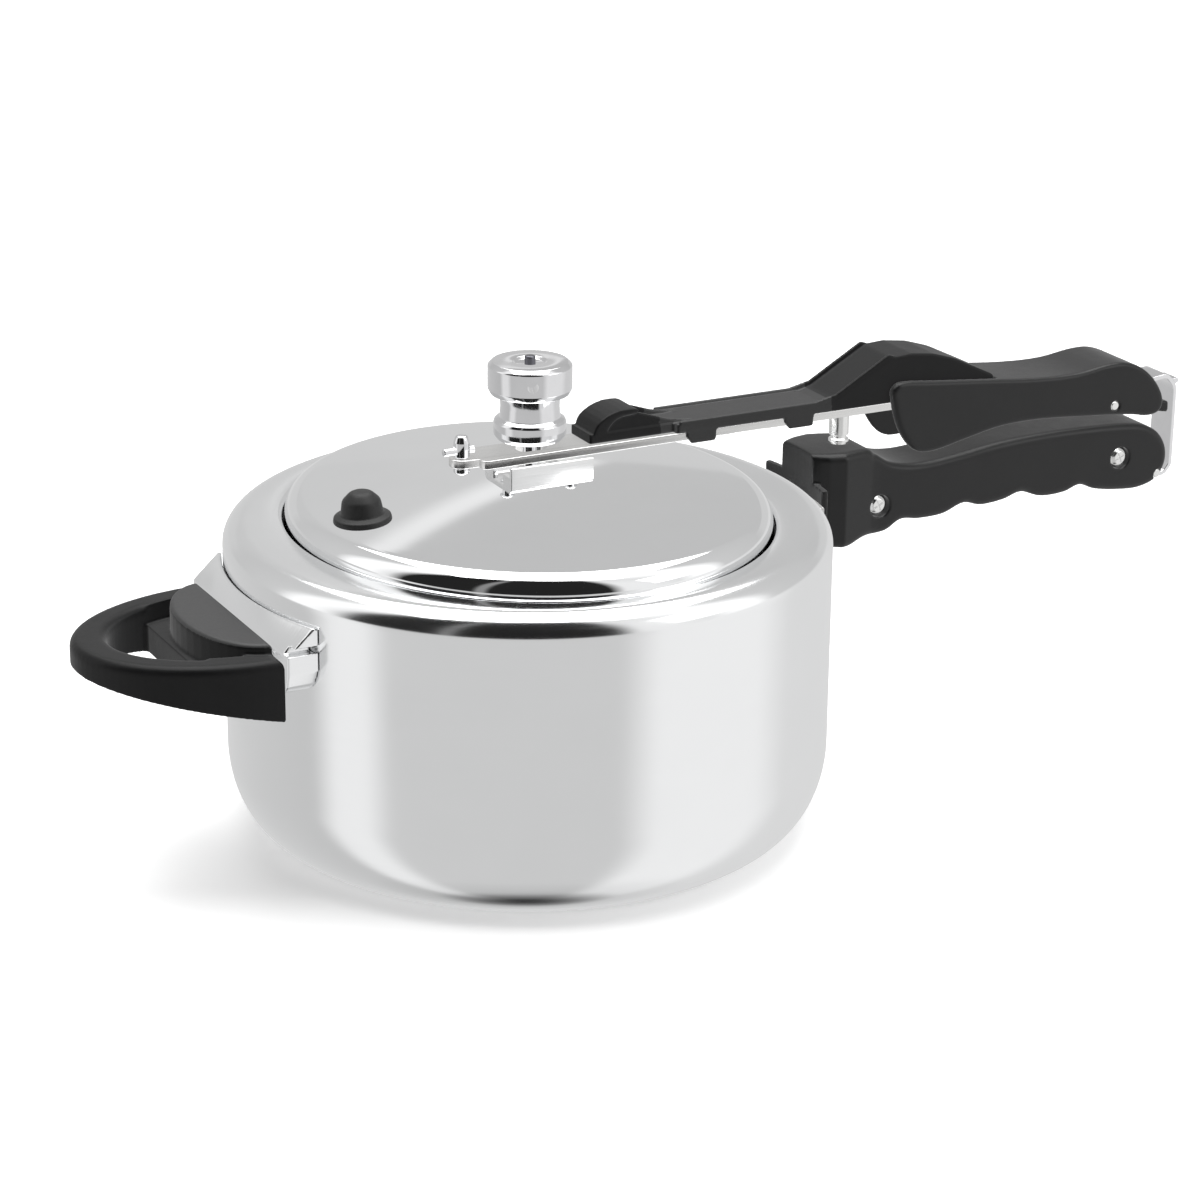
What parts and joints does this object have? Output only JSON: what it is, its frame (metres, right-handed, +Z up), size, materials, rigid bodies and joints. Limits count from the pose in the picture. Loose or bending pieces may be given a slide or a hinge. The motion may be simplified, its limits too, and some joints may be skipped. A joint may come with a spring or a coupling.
{
  "type": "stovetop pressure cooker",
  "caption": "Aluminium stovetop pressure cooker: an inner lid pulled up against the in-turned rim by a lever handle, with a lift-off weight, safety valve and latch.",
  "frame": {"origin": "centre of the pot's flat base", "axes": "+X towards the long handle, +Z up, +Y to the left when looking along the handle"},
  "size_m": [0.4141, 0.2, 0.1576],
  "materials": {
    "polished_aluminium": "polished, with fine turning marks",
    "stainless_steel": "brushed",
    "chrome_plate": "polished plate",
    "black_plastic": "fine matt moulding",
    "black_rubber": "smooth moulded",
    "gasket_rubber": "matt"
  },
  "bodies": {
    "pot": {"pot_body": "polished_aluminium", "handle_rivet_1": "polished_aluminium", "handle_rivet_2": "polished_aluminium", "handle_rivet_3": "polished_aluminium", "handle_rivet_4": "polished_aluminium", "helper_rivet_1": "polished_aluminium", "helper_rivet_2": "polished_aluminium", "handle_bracket": "stainless_steel", "lower_handle": "black_plastic", "front_screw": "stainless_steel", "rear_screw": "stainless_steel", "front_nut": "stainless_steel", "rear_nut": "stainless_steel", "fulcrum_post": "stainless_steel", "fulcrum_nut": "stainless_steel", "helper_bracket": "polished_aluminium", "helper_handle": "black_plastic", "helper_screw": "stainless_steel", "latch_pin": "stainless_steel"},
    "lever": {"lever_bar": "stainless_steel", "level_stud": "chrome_plate", "stud_cross_pin": "chrome_plate", "bar_cover": "black_plastic", "upper_handle": "black_plastic", "handle_pin": "stainless_steel", "catch_plate": "stainless_steel", "handle_screw_1": "stainless_steel", "handle_screw_2": "stainless_steel"},
    "lid": {"lid": "polished_aluminium", "lid_gasket": "gasket_rubber", "lid_bracket": "stainless_steel", "lid_rivet_1": "polished_aluminium", "lid_rivet_2": "polished_aluminium", "link_pin": "stainless_steel", "vent_pipe": "chrome_plate", "vent_nut": "stainless_steel", "safety_valve": "black_rubber"},
    "weight": {"weight_body": "chrome_plate", "weight_stem": "stainless_steel"},
    "latch": {"latch_strap": "chrome_plate"}
  },
  "joints": [
    {"name": "lever_hinge", "type": "hinge", "parent": "pot", "child": "lever", "pos_m": [0.118, 0, 0.1238], "axis": [0, -1, 0], "range_deg": [0, 7.5]},
    {"name": "lid_link", "type": "hinge", "parent": "lever", "child": "lid", "pos_m": [0.01, 0, 0.1202], "axis": [0, -1, 0], "range_deg": [-7.5, 0]},
    {"name": "weight_lift", "type": "slide", "parent": "lid", "child": "weight", "axis": [0, 0, 1], "range_m": [0, 0.025]},
    {"name": "latch_hinge", "type": "hinge", "parent": "pot", "child": "latch", "pos_m": [0.2455, 0, 0.086], "axis": [0, 1, 0], "range_deg": [0, 105]}
  ],
  "couplings": [
    {"joint": "lid_link", "follows": "lever_hinge", "ratio": -1},
    {"joint": "latch_hinge", "follows": "lever_hinge", "ratio": 14}
  ]
}
